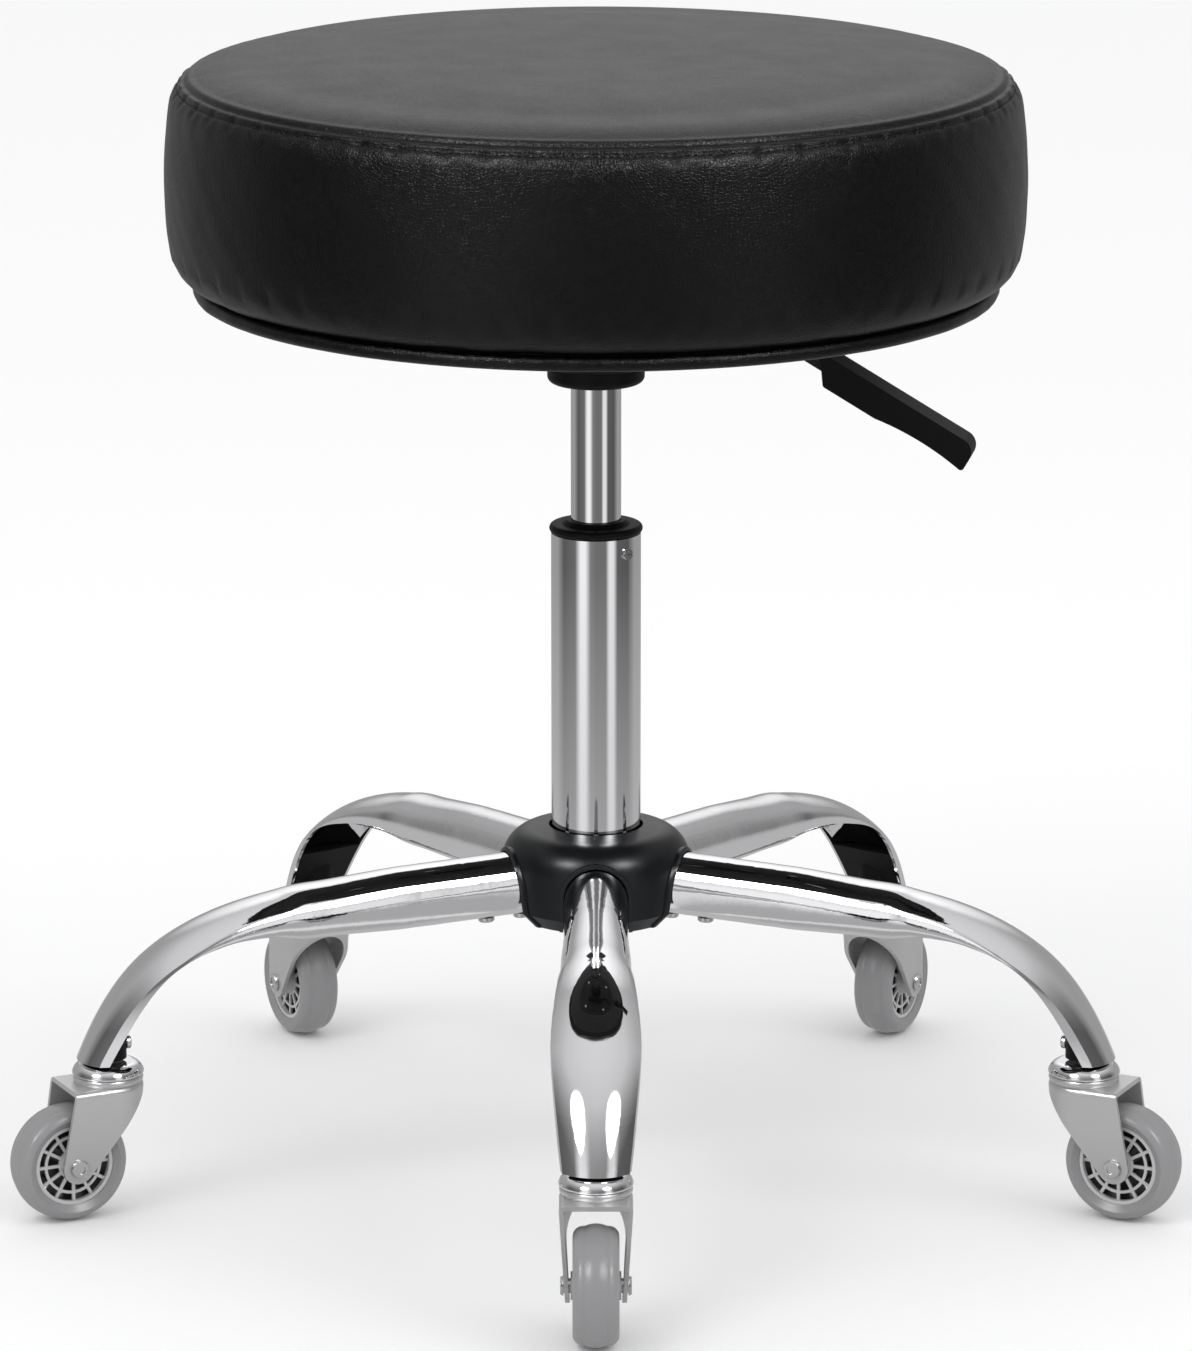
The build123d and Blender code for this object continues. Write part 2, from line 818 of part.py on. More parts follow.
# Seat
def cushion_steps(inset):
    """The cushion's outside, inset evenly: points and arcs of the side band and of the top panel."""
    seam_z = board_z + seat_height
    foot = (seat_waist - inset, board_z + band_foot)
    low_end = (seat_radius - band_turn_draw - inset, board_z + band_turn_lift)
    low_via = (seat_radius - band_low_draw - inset * 0.8, board_z + band_low_lift + inset * 0.6)
    side_via = (seat_radius - inset, board_z + seat_height / 2)
    high_end = (seat_radius - band_top_draw - inset, seam_z - band_top_fall)
    high_via = (seat_radius - band_high_draw - inset * 0.9, seam_z - band_top_fall / 2 - inset * 0.4)
    seam = (seam_radius - inset * 0.6, seam_z - inset * 0.8)
    roll_end = (seam_radius - top_roll, seam_z + crown_height * 0.57 - inset)
    roll_via = (seam_radius - top_roll * 0.38 - inset * 0.2, seam_z + crown_height * 0.34 - inset)
    top = (0.0, seam_z + crown_height - inset)
    fall = top[1] - roll_end[1]
    curve_radius = (roll_end[0] ** 2 + fall**2) / (2 * fall)
    half_turn = asin(roll_end[0] / curve_radius) / 2
    crown_via = (
        curve_radius * sin(half_turn),
        top[1] - curve_radius * (1 - cos(half_turn)),
    )
    return foot, low_via, low_end, side_via, high_end, high_via, seam, roll_via, roll_end, crown_via, top


def make_side_band():
    foot, low_via, low_end, side_via, high_end, high_via, seam = cushion_steps(0.0)[:7]
    inside = cushion_steps(skin)[:7]
    foot_in, low_via_in, low_end_in, side_via_in, high_end_in, high_via_in, seam_in = inside
    return turned(
        foot,
        (low_via, low_end),
        (side_via, high_end),
        (high_via, seam),
        seam_in,
        (high_via_in, high_end_in),
        (side_via_in, low_end_in),
        (low_via_in, foot_in),
    )


def make_top_panel():
    seam, roll_via, roll_end, crown_via, top = cushion_steps(0.0)[6:]
    seam_in, roll_via_in, roll_end_in, crown_via_in, top_in = cushion_steps(skin)[6:]
    return turned(
        seam,
        (roll_via, roll_end),
        (crown_via, top),
        top_in,
        (crown_via_in, roll_end_in),
        (roll_via_in, seam_in),
    )


def make_foam():
    steps = cushion_steps(skin + seated)
    foot, low_via, low_end, side_via, high_end, high_via, seam, roll_via, roll_end, crown_via, top = steps
    foam = turned(
        (0, foot[1]),
        foot,
        (low_via, low_end),
        (side_via, high_end),
        (high_via, seam),
        (roll_via, roll_end),
        (crown_via, top),
    )
    foam -= ring(0, board_radius + seated, board_z, board_top_z + seated)
    pocket = ring(0, tee_flange_radius + loose, board_z, board_top_z + tee_flange_height + loose)
    for place in bolt_places():
        foam -= to_lever(place * pocket)
    return foam


def make_board():
    board = ring(0, board_radius, board_z, board_top_z)
    for place in bolt_places():
        board -= to_lever(place * ring(0, tee_barrel_radius + seated, board_z - 1, board_top_z + 1))
    return board


def make_wrap():
    """Vinyl edge folded round the board: a rounded lip outside and a flat fold below."""
    inner = board_radius + seated
    low = board_z - skin
    return turned(
        (inner - wrap_fold, low),
        (inner, low),
        ((inner + wrap_bulge, low + wrap_height * 0.48), (inner + skin, low + wrap_height)),
        (inner, low + wrap_height),
        (inner, board_z),
        (inner - wrap_fold, board_z),
    )


def make_cloth():
    return ring(cloth_inner_radius, board_radius - wrap_fold - loose, board_z - cloth_thickness, board_z)


def make_tee_nuts():
    nut = ring(bolt_radius + seated, tee_barrel_radius, board_z + 2.0, board_top_z)
    nut += ring(bolt_radius + seated, tee_flange_radius, board_top_z, board_top_z + tee_flange_height)
    return [to_lever(place * nut) for place in bolt_places()]


def make_plate_bolts():
    head_z = board_z - plate_sheet
    bolt = extrude(
        Plane.XY.offset(head_z - bolt_head_height) * RegularPolygon(bolt_head_radius, 6), bolt_head_height
    )
    bolt += ring(0, bolt_radius, head_z - 1.0, board_top_z - 1.0)
    return [to_lever(place * bolt) for place in bolt_places()]


# Casters. Each is drawn with its stem on the Z axis, its wheel trailing along +X, then placed.
def on_axle(solid):
    """Turn a wheel piece from the Z axis onto the axle."""
    return Pos(caster_trail, 0, axle_z) * Rot(90, 0, 0) * solid


def fork_form(inset):
    """Drafted U in plan: the fork's outside, or its inside when inset by the sheet."""
    radius = crown_radius - inset
    plan = Circle(radius) + Pos(fork_hood, 0) * Rectangle(2 * fork_hood, 2 * radius)
    form = extrude(Plane.XY.offset(crown_top - inset) * plan, -crown_top, taper=fork_draft)
    return fillet(form.edges().group_by(Axis.Z)[-1], fork_bend - inset)


def fork_half_width(z):
    """Half of the fork's outside width at a height."""
    return crown_radius - (crown_top - z) * tan(radians(fork_draft))


def make_fork():
    """Drawn sheet: a round crown whose skirt runs into two side plates, and a hood over the wheel."""
    axle = (caster_trail, axle_z)
    front = (fork_hood, crown_top)
    rear = (-crown_radius, crown_low - 1.0)
    side = outline(
        Plane.XZ,
        (-crown_radius, crown_top + 1.0),
        (fork_hood, crown_top + 1.0),
        front,
        touch(front, axle, fork_end_radius, -1),
        ((axle[0], axle[1] - fork_end_radius), touch(rear, axle, fork_end_radius, 1)),
        rear,
    )
    fork = (fork_form(0.0) - fork_form(fork_sheet)) & extrude(side, 2 * crown_radius, both=True)
    fork += turned(
        (stem_radius + running, crown_top),
        (race_radius, crown_top),
        ((race_radius + 0.5, crown_top + race_height / 2), (race_radius, race_top)),
        (stem_radius + running, race_top),
    )
    fork -= ring(0, stem_radius + running, crown_low - 1, race_top + 1)
    near, far = (caster_trail, -crown_radius, axle_z), (caster_trail, crown_radius, axle_z)
    return fork - bar(axle_radius + seated, near, far)


def make_stem():
    """Threaded stem with the swivel's lower head."""
    head_z = crown_low - loose
    return turned(
        (0, head_z - stem_head_height),
        (stem_head_radius - 1.0, head_z - stem_head_height),
        (stem_head_radius, head_z - stem_head_height + 1.0),
        (stem_head_radius, head_z),
        (stem_radius, head_z),
        (stem_radius, foot_z + stem_length - 1.0),
        (stem_radius - 1.0, foot_z + stem_length),
        (0, foot_z + stem_length),
    )


def make_cap():
    """Domed swivel cap on the stem, over the fork's race."""
    top = cap_low + cap_height
    mid_radius = (cap_radius + cap_top_radius) / 2 + 1.2
    return turned(
        (stem_radius + seated / 2, cap_low),
        (cap_radius - 1.0, cap_low),
        ((cap_radius - 0.2, cap_low + 0.5), (cap_radius, cap_low + 1.6)),
        ((mid_radius, cap_low + 0.68 * cap_height), (cap_top_radius, top)),
        (stem_radius + seated / 2, top),
    )


def make_axle():
    """Riveted axle with a dimpled head on each side of the fork."""
    half = fork_half_width(axle_z + axle_head_radius)
    tip = half + axle_head_height
    axle = turned(
        (0, -tip),
        (axle_head_radius - 0.6, -tip),
        (axle_head_radius, -half - 0.6),
        (axle_head_radius, -half),
        (axle_radius, -half),
        (axle_radius, half),
        (axle_head_radius, half),
        (axle_head_radius, half + 0.6),
        (axle_head_radius - 0.6, tip),
        (0, tip),
    )
    dimple = 0.55 * axle_head_radius
    floor = half + 0.6 * axle_head_height
    axle -= ring(0, dimple, floor, tip + 1)
    axle -= ring(0, dimple, -tip - 1, -floor)
    return on_axle(axle)


def make_wheel_core():
    """Webbed core: hub, middle ring and rim joined by spokes."""
    rim_radius_out = wheel_radius - tyre_depth - seated
    rim_radius_in = rim_radius_out - core_rim
    spokes = Circle(core_hub_radius)
    for place in range(core_spokes // 2):
        turn = Rot(0, 0, 360 * place / core_spokes)
        spokes += turn * Rectangle(2 * rim_radius_in + 1, spoke_width)
    inner = Circle(core_mid_ring - core_mid_ring_width / 2) - spokes
    outer = Circle(rim_radius_in) - Circle(core_mid_ring + core_mid_ring_width / 2) - spokes
    web = Circle(rim_radius_out) - inner - outer
    core = extrude(web, core_width / 2, both=True)
    core += ring(rim_radius_in, rim_radius_out, -core_width / 2 - 2.0, core_width / 2 + 2.0)
    hub_half = fork_half_width(axle_z - core_hub_radius) - fork_sheet - loose
    core += ring(0, core_hub_radius - 1.0, -hub_half, hub_half)
    return on_axle(core - ring(0, axle_radius + running, -2 * hub_half, 2 * hub_half))


def make_tyre():
    """Soft tyre with a rounded tread and full shoulders."""
    half = wheel_width / 2
    inner = wheel_radius - tyre_depth
    shoulder = wheel_radius - 0.62 * tyre_depth
    edge = wheel_radius - tread_drop
    via = (between(shoulder, edge, 0.68), between(half, tread_half_width, 0.27))
    seat = core_width / 2 + 2.5
    tyre = turned(
        (inner, -seat),
        (shoulder, -half),
        ((via[0], -via[1]), (edge, -tread_half_width)),
        ((wheel_radius, 0), (edge, tread_half_width)),
        (via, (shoulder, half)),
        (inner, seat),
    )
    return on_axle(tyre)


leg_angles = [front_leg_angle + 360 / leg_count * place for place in range(leg_count)]


def round_base(solids):
    """Copies of solids drawn for one leg, turned to every leg."""
    return [Rot(0, 0, angle) * solid for angle in leg_angles for solid in solids]


def at_stems(solids):
    """Copies of solids drawn on the Z axis, moved out to every caster's stem and turned on it."""
    places = zip(leg_angles, caster_turns)
    return [
        Rot(0, 0, angle) * Pos(stem_circle_radius, 0, 0) * Rot(0, 0, turn) * solid
        for angle, turn in places
        for solid in solids
    ]


inside = cylinder_bore - seated / 2
guide_z = cylinder_foot_z + guide_height
nodes = {
    "seat_top_panel": [make_top_panel()],
    "seat_side_band": [make_side_band()],
    "seat_foam": [make_foam()],
    "seat_board": [make_board()],
    "board_wrap": [make_wrap()],
    "underside_cloth": [make_cloth()],
    "tee_nuts": make_tee_nuts(),
    "plate_bolts": make_plate_bolts(),
    "seat_plate": [make_seat_plate()],
    "taper_socket": [make_taper_socket()],
    "column_collar": [make_collar()],
    "lever_pivot_pin": [make_pivot_pin()],
    "lever_bar": [make_lever_bar()],
    "lever_handle": [make_lever_handle()],
    "release_pin": [make_release_pin()],
    "gas_cylinder": [make_gas_cylinder()],
    "valve_body": [ring(pin_radius + running, inside, cylinder_top_z - valve_height, cylinder_top_z)],
    "rod_guide": [ring(rod_radius + running, inside, cylinder_foot_z, guide_z)],
    "rod_seal": [ring(rod_radius + running, inside, guide_z, guide_z + seal_height)],
    "piston_rod": [make_piston_rod()],
    "piston": [make_piston()],
    "upper_race": [ring(rod_radius + seated, race_outer_radius, race_high_z, race_high_z + race_thickness)],
    "bumper": [ring(rod_radius + seated, bumper_radius, bumper_z, bumper_z + bumper_height)],
    "rod_clip": [make_clip()],
    "bearing_balls": make_bearing_balls(),
    "lower_race": [ring(rod_radius + loose, race_outer_radius, tube_floor_z, race_low_z)],
    "stand_tube": [make_stand_tube()],
    "guide_sleeve": [make_guide_sleeve()],
    "sleeve_screw": [make_sleeve_screw()],
    "hub_shell": [make_hub_shell(leg_angles)],
    "hub_core": [make_hub_core(leg_angles)],
    "leg_screws": round_base(make_leg_screws()),
    "caster_sockets": round_base([make_socket()]),
    "socket_screws": round_base([make_socket_screw()]),
    "caster_stems": at_stems([make_stem(), make_cap()]),
}
legs = round_base([make_leg()])
forks = at_stems([make_fork()])
axles = at_stems([make_axle()])
wheel_cores = at_stems([make_wheel_core()])
tyres = at_stems([make_tyre()])
for place in range(leg_count):
    nodes[f"leg_{place + 1}"] = [legs[place]]
    nodes[f"fork_{place + 1}"] = [forks[place]]
    nodes[f"axle_{place + 1}"] = [axles[place]]
    nodes[f"wheel_core_{place + 1}"] = [wheel_cores[place]]
    nodes[f"tyre_{place + 1}"] = [tyres[place]]

os.makedirs("parts", exist_ok=True)
for name, solids in nodes.items():
    body = solids[0] if len(solids) == 1 else Compound(children=solids)
    export_step(body, f"parts/{name}.step")
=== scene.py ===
"""Looks of the adjustable swivel stool, in metres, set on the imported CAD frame."""

import json

import bpy
import numpy as np
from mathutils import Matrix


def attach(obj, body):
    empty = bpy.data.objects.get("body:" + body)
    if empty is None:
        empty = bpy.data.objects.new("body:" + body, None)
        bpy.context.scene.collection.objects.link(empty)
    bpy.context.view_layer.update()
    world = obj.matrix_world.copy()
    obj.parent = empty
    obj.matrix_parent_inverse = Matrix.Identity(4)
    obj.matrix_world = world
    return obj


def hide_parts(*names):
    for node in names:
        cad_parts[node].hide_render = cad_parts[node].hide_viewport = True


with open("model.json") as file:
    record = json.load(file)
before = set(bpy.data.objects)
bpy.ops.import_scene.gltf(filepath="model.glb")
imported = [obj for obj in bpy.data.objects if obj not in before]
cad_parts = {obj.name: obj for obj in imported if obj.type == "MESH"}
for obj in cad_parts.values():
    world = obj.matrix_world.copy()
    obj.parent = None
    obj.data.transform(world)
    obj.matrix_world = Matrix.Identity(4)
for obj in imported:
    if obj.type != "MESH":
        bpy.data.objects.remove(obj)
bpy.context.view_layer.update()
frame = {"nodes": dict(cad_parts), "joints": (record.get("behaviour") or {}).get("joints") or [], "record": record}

MM = 0.001
TURN = 2 * np.pi

# Cushion outline in mm, radius and height, from the foot of the side band over the seam to the crown.
FOOT = (219.2, 512.0)
LOW_VIA = (229.5, 516.6)
LOW_END = (234.5, 530.0)
SIDE_VIA = (237.0, 563.5)
HIGH_END = (233.0, 609.7)
HIGH_VIA = (230.6, 616.4)
SEAM = (225.5, 623.0)
ROLL_VIA = (214.1, 627.4)
ROLL_END = (195.5, 630.4)
CROWN_VIA = (98.4, 634.6)
CROWN = (0.0, 636.0)

# Cloth: how far it starts inside the outline and may move (mm), the band's spare share, waves kept on top.
SLACK = 2.5
SWELL_LIMIT = 3.0
BAND_FULLNESS = 0.011
TOP_WAVES = 9
CLOTH_FRAMES = 20
SIDE_ROWS = 28
TOP_ROWS = 50
COLUMNS = 360

# Topstitch: one stitch a column. Distance under the seam, length and thread radius in mm.
STITCH_COUNT = 360
STITCH_DROP = 6.0
STITCH_LENGTH = 2.9
THREAD_RADIUS = 0.36

# Relief sewn into the vinyl, in mm: height, distance of its middle, width.
SEAM_VALLEY = (-1.3, 0.0, 1.5)
BAND_EDGE = (0.5, 3.0, 1.6)
TOP_EDGE = (0.7, 3.4, 2.4)
STITCH_GROOVE = (-0.9, STITCH_DROP, 1.2)
BAND_PUCKER = (0.2, 10.0, 7.0)
TOP_PUCKER = (0.1, 8.0, 8.0)
FOOT_PUCKER = (0.3, 0.0, 12.0)
NEAR_SEAM = 14.0

# Vinyl lip that wraps the seat board, and the dust cloth inside its fold.
LIP_INNER = 217.1
LIP_LOW = 502.8
LIP_TOP = 511.3
LIP_BULGE = 4.7
LIP_BELLY = 4.1
LIP_FOLD = 20.0
SKIN = 1.2
CLOTH_INNER = 118.0
CLOTH_OUTER = 195.7
CLOTH_LOW = 503.2
CLOTH_TOP = 504.0


def linear(code):
    """Linear colour of an sRGB hex code: c / 12.92 when dark, else ((c + 0.055) / 1.055) to the 2.4."""
    parts = [int(code[i : i + 2], 16) / 255 for i in (1, 3, 5)]
    return [c / 12.92 if c <= 0.04045 else ((c + 0.055) / 1.055) ** 2.4 for c in parts] + [1.0]


def add(tree, kind, values=None, links=None, **settings):
    """A new node with its settings, its socket values, and its links as socket: source."""
    made = tree.nodes.new(kind)
    for key, value in settings.items():
        setattr(made, key, value)
    for key, value in (values or {}).items():
        made.inputs[key].default_value = value
    for key, source in (links or {}).items():
        tree.links.new(source, made.inputs[key])
    return made


def ramp(tree, source, stops, smooth=False):
    """A colour ramp on a source socket. Stops are (position, sRGB hex)."""
    made = add(tree, "ShaderNodeValToRGB", links={"Fac": source})
    band = made.color_ramp
    band.interpolation = "EASE" if smooth else "LINEAR"
    while len(band.elements) < len(stops):
        band.elements.new(0.5)
    for element, (position, code) in zip(band.elements, stops):
        element.position = position
        element.color = linear(code)
    return made.outputs["Color"]


def surface(name, colour, roughness, **sockets):
    """A Principled material with its constants straight on the sockets."""
    made = bpy.data.materials.new(name)
    made.use_nodes = True
    shader = made.node_tree.nodes["Principled BSDF"]
    shader.inputs["Base Color"].default_value = linear(colour)
    shader.inputs["Roughness"].default_value = roughness
    for key, value in sockets.items():
        shader.inputs[key.replace("_", " ")].default_value = value
    return made


def place_of(tree):
    """Object coordinates, in metres."""
    return add(tree, "ShaderNodeTexCoord").outputs["Object"]


def noise(tree, size, detail=2.0, stretch=None):
    """Noise with features about size metres wide, stretched along an axis where asked."""
    where = place_of(tree)
    if stretch:
        where = add(tree, "ShaderNodeMapping", {"Scale": stretch}, {"Vector": where}).outputs["Vector"]
    return add(
        tree, "ShaderNodeTexNoise", {"Scale": 1 / size, "Detail": detail}, {"Vector": where}
    ).outputs["Fac"]


def raise_by(made, *layers):
    """Bumps a material by layers of (pattern socket, height in metres), one on the other."""
    tree = made.node_tree
    normal = None
    for pattern, height in layers:
        links = {"Height": pattern}
        if normal:
            links["Normal"] = normal
        normal = add(tree, "ShaderNodeBump", {"Distance": height}, links).outputs["Normal"]
    tree.links.new(normal, tree.nodes["Principled BSDF"].inputs["Normal"])


def feed(made, socket, source):
    """Links a source to a socket of the material's shader."""
    made.node_tree.links.new(source, made.node_tree.nodes["Principled BSDF"].inputs[socket])


def make_vinyl():
    """Black upholstery vinyl: leather cells of 1 to 2 mm, finer pores, a few creases, slow gloss changes."""
    made = surface("black_vinyl", "#060607", 0.31, Specular_IOR_Level=0.25)
    tree = made.node_tree
    cells = add(
        tree,
        "ShaderNodeTexVoronoi",
        {"Scale": 1 / 0.0016, "Randomness": 1.0},
        {"Vector": place_of(tree)},
        feature="DISTANCE_TO_EDGE",
    ).outputs["Distance"]
    grain = ramp(tree, cells, [(0.0, "#000000"), (0.22, "#ffffff")], smooth=True)
    lines = add(
        tree,
        "ShaderNodeTexVoronoi",
        {"Scale": 1 / 0.045, "Randomness": 1.0},
        {"Vector": place_of(tree)},
        feature="DISTANCE_TO_EDGE",
    ).outputs["Distance"]
    creased = ramp(tree, lines, [(0.0, "#000000"), (0.03, "#ffffff")])
    spared = ramp(tree, noise(tree, 0.06), [(0.42, "#000000"), (0.55, "#ffffff")])
    crease = add(
        tree, "ShaderNodeMath", {}, {0: creased, 1: spared}, operation="MAXIMUM"
    ).outputs["Value"]
    raise_by(
        made,
        (noise(tree, 0.014), 0.0001),
        (crease, 0.00007),
        (grain, 0.00009),
        (noise(tree, 0.0006), 0.00004),
    )
    feed(made, "Roughness", ramp(tree, noise(tree, 0.03), [(0.3, "#929292"), (0.7, "#9e9e9e")]))
    return made


def make_thread():
    """Black bonded nylon sewing thread."""
    return surface("black_thread", "#060607", 0.5, Specular_IOR_Level=0.3)


def make_dust_cloth():
    """Black spun-bonded dust cloth: fine tangled fibres, dull."""
    made = surface("dust_cloth", "#141414", 0.9, Sheen_Weight=0.2)
    raise_by(made, (noise(made.node_tree, 0.0008, 4.0), 0.0002))
    return made


def make_plywood():
    """Birch plywood stained black: long grain along X, a shade lighter in the figure."""
    made = surface("black_stained_plywood", "#141211", 0.6, Specular_IOR_Level=0.3)
    tree = made.node_tree
    grain = noise(tree, 0.004, 4.0, (0.06, 1.0, 1.0))
    feed(made, "Base Color", ramp(tree, grain, [(0.35, "#0d0c0b"), (0.65, "#1e1b19")]))
    return made


def make_chrome():
    """Bright chrome plate on steel, with a faint polish haze."""
    made = surface("chrome", "#eeeef0", 0.06, Metallic=1.0)
    feed(
        made,
        "Roughness",
        ramp(made.node_tree, noise(made.node_tree, 0.02), [(0.3, "#333333"), (0.7, "#444444")]),
    )
    return made


def make_fork_steel():
    """Zinc-plated pressed steel of the forks: pale, satin, with a fine brushed mottle."""
    made = surface("fork_steel", "#c6c6c6", 0.34, Metallic=0.7)
    raise_by(made, (noise(made.node_tree, 0.0015, 3.0), 0.00002))
    return made


def make_moulded(name, colour, roughness, grain, gloss=0.3):
    """Moulded plastic or rubber with a fine spark-eroded grain."""
    made = surface(name, colour, roughness, Specular_IOR_Level=gloss)
    raise_by(made, (noise(made.node_tree, 0.0006, 2.0), grain))
    return made


def make_core(joint):
    """Grey nylon lattice of a wheel: light on its outer faces, with painted shade near black down in its deep
    windows.
    """
    made = surface("grey_nylon_wheel_core", "#bcbcbc", 0.42)
    tree = made.node_tree
    from_hub = add(
        tree, "ShaderNodeVectorMath", {1: joint["pos_m"]}, {0: place_of(tree)}, operation="SUBTRACT"
    ).outputs["Vector"]
    side = add(
        tree, "ShaderNodeVectorMath", {1: joint["axis"]}, {0: from_hub}, operation="DOT_PRODUCT"
    ).outputs["Value"]
    depth = add(tree, "ShaderNodeMath", {}, {0: side}, operation="ABSOLUTE").outputs["Value"]
    # Painted shade: closer than 5.8 mm to its middle plane the core is coloured near black for the shadow in its
    # windows, back to its own grey by 7.2 mm.
    painted_shade_fade = add(
        tree, "ShaderNodeMapRange", {"From Min": 0.0058, "From Max": 0.0072}, {"Value": depth}
    ).outputs["Result"]
    feed(made, "Base Color", ramp(tree, painted_shade_fade, [(0.0, "#1c1c1c"), (1.0, "#bcbcbc")]))
    return made


def make_materials():
    """The material of every slot in the record."""
    return {
        "black_vinyl": make_vinyl(),
        "seat_foam": make_moulded("polyurethane_foam", "#d8cf9c", 0.9, 0.0002),
        "dust_cloth": make_dust_cloth(),
        "plywood": make_plywood(),
        "black_steel": make_moulded("black_painted_steel", "#101011", 0.42, 0.00001),
        "zinc_steel": surface("zinc_plated_steel", "#d2d2d4", 0.25, Metallic=1.0),
        "black_plastic": make_moulded("black_polypropylene", "#0b0b0c", 0.5, 0.00004, 0.15),
        "hub_plastic": make_moulded("black_nylon_hub", "#0e1013", 0.3, 0.00002),
        "chrome": make_chrome(),
        "fork_steel": make_fork_steel(),
        "tyre_grey": make_moulded("grey_polyurethane_tyre", "#8e8e8f", 0.3, 0.00001),
        "core_plastic": make_moulded("grey_nylon_wheel_core", "#b4b4b4", 0.42, 0.00002),
        "black_rubber": make_moulded("black_rubber", "#151515", 0.65, 0.00003),
    }


def arc(a, b, c, count):
    """Count points at even angles on the circle through a, b and c, from a to just before c."""
    a, b, c = complex(*a), complex(*b), complex(*c)
    ratio = (c - a) / (b - a)
    centre = a - (a - b) * (ratio - abs(ratio) ** 2) / (2j * ratio.imag)
    turn = np.angle((c - centre) / (a - centre))
    points = centre + (a - centre) * np.exp(1j * turn * np.arange(count) / count)
    return np.column_stack([points.real, points.imag])


def even(points, count):
    """Count points at even lengths along a polyline."""
    steps = np.hypot(*np.diff(points, axis=0).T)
    length = np.concatenate([[0.0], np.cumsum(steps)])
    want = np.linspace(0.0, length[-1], count)
    return np.column_stack([np.interp(want, length, points[:, k]) for k in (0, 1)]), length[-1]


def cubic(rows, where):
    """Rows of points read at fractional row numbers by the Catmull-Rom cubic, ends continued straight."""
    padded = np.concatenate([[2 * rows[0] - rows[1]], rows, [2 * rows[-1] - rows[-2]]])
    first = np.clip(np.floor(where).astype(int), 0, len(rows) - 2)
    t = (where - first).reshape((-1,) + (1,) * (rows.ndim - 1))
    a, b, c, d = (padded[first + k] for k in range(4))
    return b + 0.5 * t * (c - a + t * (2 * a - 5 * b + 4 * c - d + t * (3 * (b - c) + d - a)))


def cubic_round(grid, times):
    """A grid that closes on itself in its second axis, with times as many columns, by the same cubic."""
    wrapped = np.concatenate([grid, grid[:, :2]], axis=1).swapaxes(0, 1)
    wrapped = np.concatenate([wrapped[-3:-2], wrapped])
    where = 1 + np.arange(grid.shape[1] * times) / times
    return cubic(wrapped, where).swapaxes(0, 1)


def waves(angle, counts, seed):
    """A smooth seeded wander round the circle: the mean of sines of the given whole counts."""
    chance = np.random.default_rng(seed)
    shift = chance.uniform(0, TURN, len(counts))
    size = chance.uniform(0.4, 1.0, len(counts))
    return sum(s * np.sin(n * angle + p) for n, p, s in zip(counts, shift, size)) / size.sum()


def ripple(x, y, lengths, seed):
    """A smooth seeded unevenness of the plane: the mean of straight waves of the given lengths in mm."""
    chance = np.random.default_rng(seed)
    heading = chance.uniform(0, TURN, len(lengths))
    shift = chance.uniform(0, TURN, len(lengths))
    waved = [
        np.sin(TURN * (x * np.cos(h) + y * np.sin(h)) / n + p) for n, h, p in zip(lengths, heading, shift)
    ]
    return sum(waved) / len(lengths)


def revolve(profile, columns):
    """Points of a profile of radius and height turned round Z, as a grid of rows by columns."""
    angle = np.arange(columns) * TURN / columns
    radius, height = profile[:, 0, None], profile[:, 1, None]
    return np.stack(
        [radius * np.cos(angle), radius * np.sin(angle), np.broadcast_to(height, (len(profile), columns))],
        axis=-1,
    )


def normals(grid):
    """Outward unit normals of a turned grid, rows going up the outside, from central differences."""
    along = np.gradient(grid, axis=0)
    around = np.roll(grid, -1, axis=1) - np.roll(grid, 1, axis=1)
    out = np.cross(around, along)
    return out / np.maximum(np.linalg.norm(out, axis=-1, keepdims=True), 1e-9)


def grid_faces(rows, columns, loop=False):
    """Quads of a grid that closes in its columns, and in its rows too where loop is set."""
    row = np.arange(rows if loop else rows - 1)[:, None]
    column = np.arange(columns)[None, :]
    up, on = (row + 1) % rows, (column + 1) % columns
    quads = np.stack(
        [row * columns + column, row * columns + on, up * columns + on, up * columns + column], axis=-1
    )
    return quads.reshape(-1, 4)


def mesh_object(name, points, quads, triangles=(), material=None):
    """A smooth mesh object at the origin, from points in mm."""
    mesh = bpy.data.meshes.new(name)
    faces = np.asarray(quads).tolist() + np.asarray(triangles).tolist()
    mesh.from_pydata((np.asarray(points).reshape(-1, 3) * MM).tolist(), [], faces)
    mesh.polygons.foreach_set("use_smooth", np.ones(len(faces), bool))
    mesh.update()
    made = bpy.data.objects.new(name, mesh)
    bpy.context.scene.collection.objects.link(made)
    if material:
        mesh.materials.append(material)
    return made


def capped(grid):
    """Points, quads and triangles of a grid closed by a pole at the middle of its first and last row."""
    rows, columns = grid.shape[:2]
    points = np.concatenate([grid.reshape(-1, 3), [grid[0].mean(0)], [grid[-1].mean(0)]])
    column = np.arange(columns)
    on = (column + 1) % columns
    low, high = rows * columns, rows * columns + 1
    last = (rows - 1) * columns
    below = np.stack([np.full(columns, low), on, column], axis=-1)
    above = np.stack([last + column, last + on, np.full(columns, high)], axis=-1)
    return points, grid_faces(rows, columns), np.concatenate([below, above])


